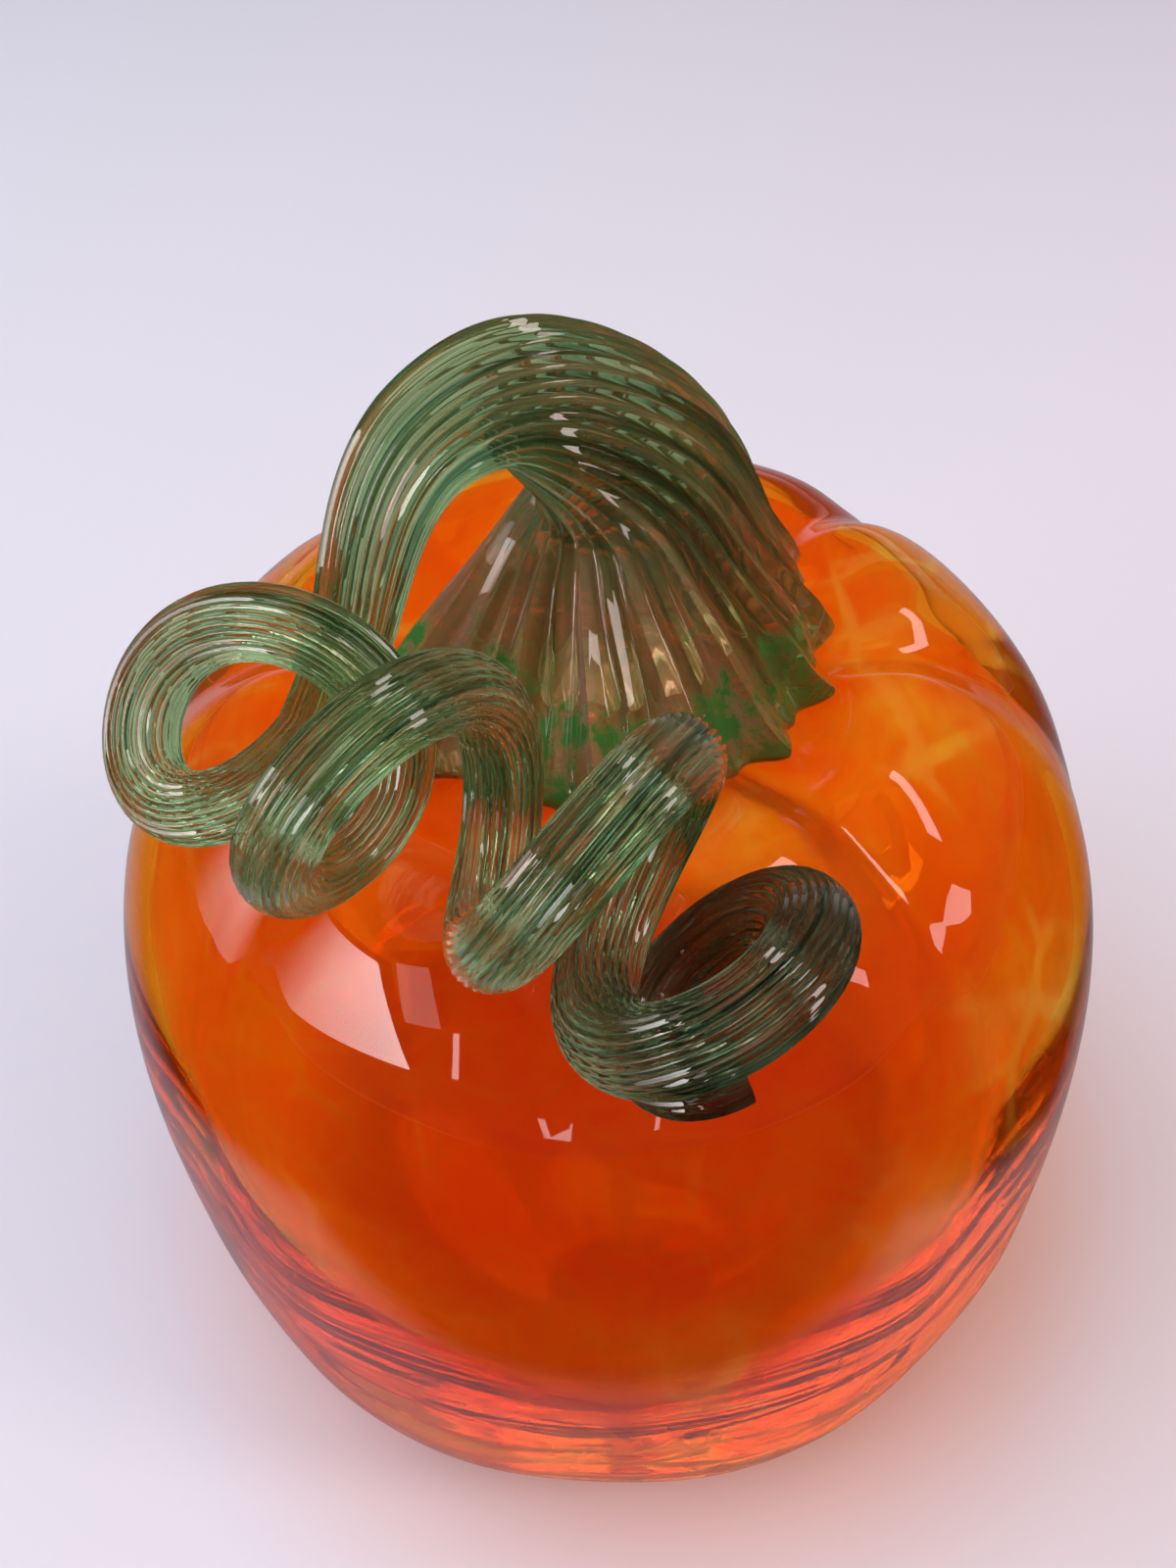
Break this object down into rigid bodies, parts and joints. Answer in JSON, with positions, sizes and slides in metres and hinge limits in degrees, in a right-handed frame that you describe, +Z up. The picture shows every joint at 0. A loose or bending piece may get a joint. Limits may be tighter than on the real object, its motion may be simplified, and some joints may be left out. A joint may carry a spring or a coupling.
{
  "type": "glass pumpkin ornament",
  "caption": "Hollow lobed blown-glass pumpkin with a flat base and a ribbed glass stem that arches over and curls into a tendril above the shoulder.",
  "frame": {"origin": "middle of the flat base, on the surface that the pumpkin stands on", "axes": "+Z up along the body's axis, -Y towards the front where the tendril curls, +X to the right seen from the front"},
  "size_m": [0.1784, 0.1817, 0.2089],
  "materials": {
    "orange_glass": "clear polished glass with cloudy amber streaks",
    "green_glass": "ribbed transparent glass with green streaks"
  },
  "bodies": {
    "root": {"body": "orange_glass", "stem": "green_glass"}
  },
  "joints": []
}
